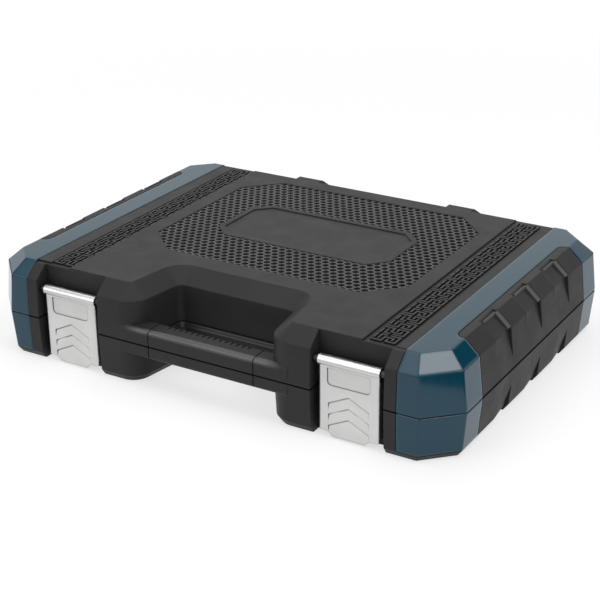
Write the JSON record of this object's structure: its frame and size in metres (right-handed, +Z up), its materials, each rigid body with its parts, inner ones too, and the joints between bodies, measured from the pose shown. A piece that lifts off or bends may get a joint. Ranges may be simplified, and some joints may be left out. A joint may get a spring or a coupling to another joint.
{
  "type": "socket wrench set in case",
  "caption": "Socket wrench set in a moulded two-part carrying case with glossy end caps, steel latches, a recessed handle and a tray with a ratchet, sockets and bits.",
  "frame": {"origin": "on the surface that the case lies on, under the middle of its bounding box", "axes": "+X to the right seen from the handle, -Y towards the handle and latches, +Z up through the lid"},
  "size_m": [0.39, 0.2864, 0.075],
  "materials": {
    "case_plastic": "finely textured moulding",
    "cap_plastic": "glossy moulding",
    "latch_steel": "plated stamping",
    "pin_steel": "drawn wire",
    "tray_plastic": "matt moulding",
    "soft_rubber": "soft matt",
    "dark_steel": "satin",
    "bit_steel": "satin",
    "chromed_steel": "satin chrome"
  },
  "bodies": {
    "base": {"base_cap_back_left": "cap_plastic", "base_cap_back_right": "cap_plastic", "base_cap_front_left": "cap_plastic", "base_cap_front_right": "cap_plastic", "base_shell": "case_plastic", "bit_holder": "chromed_steel", "extension_bar": "chromed_steel", "half_inch_sockets": "chromed_steel", "hex_bits": "bit_steel", "hinge_pin_left": "pin_steel", "hinge_pin_right": "pin_steel", "ratchet_body": "chromed_steel", "ratchet_cover": "dark_steel", "ratchet_grip": "soft_rubber", "short_extension_bar": "chromed_steel", "spark_plug_sockets": "chromed_steel", "square_adapter": "chromed_steel", "tool_tray": "tray_plastic"},
    "lid": {"latch_pin_left": "pin_steel", "latch_pin_right": "pin_steel", "lid_cap_left": "cap_plastic", "lid_cap_right": "cap_plastic", "lid_shell": "case_plastic"},
    "left_latch": {"latch_plate_left": "latch_steel"},
    "right_latch": {"latch_plate_right": "latch_steel"},
    "ratchet_spindle": {"ratchet_drive": "chromed_steel"},
    "ratchet_release": {"ratchet_button": "chromed_steel"},
    "ratchet_reverser": {"ratchet_lever": "dark_steel", "ratchet_pawl": "chromed_steel"}
  },
  "joints": [
    {"name": "lid_hinge", "type": "hinge", "parent": "base", "child": "lid", "pos_m": [0, 0.139, 0.0343], "axis": [-1, 0, 0], "range_deg": [0, 110]},
    {"name": "left_latch_hinge", "type": "hinge", "parent": "lid", "child": "left_latch", "pos_m": [-0.1175, -0.13714, 0.057], "axis": [-1, 0, 0], "range_deg": [0, 110]},
    {"name": "right_latch_hinge", "type": "hinge", "parent": "lid", "child": "right_latch", "pos_m": [0.1175, -0.13714, 0.057], "axis": [-1, 0, 0], "range_deg": [0, 110]},
    {"name": "ratchet_spin", "type": "hinge", "parent": "base", "child": "ratchet_spindle", "pos_m": [-0.1615, 0.0088, 0.03], "axis": [0, 0, 1], "continuous": true},
    {"name": "ratchet_release_push", "type": "slide", "parent": "ratchet_spindle", "child": "ratchet_release", "axis": [0, 0, -1], "range_m": [0, 0.0016], "stiffness_N_per_m": 400, "springref_m": -0.003},
    {"name": "ratchet_reverse", "type": "hinge", "parent": "base", "child": "ratchet_reverser", "pos_m": [-0.14206, 0.0088, 0.03], "axis": [0, 0, 1], "range_deg": [-18, 18]}
  ]
}
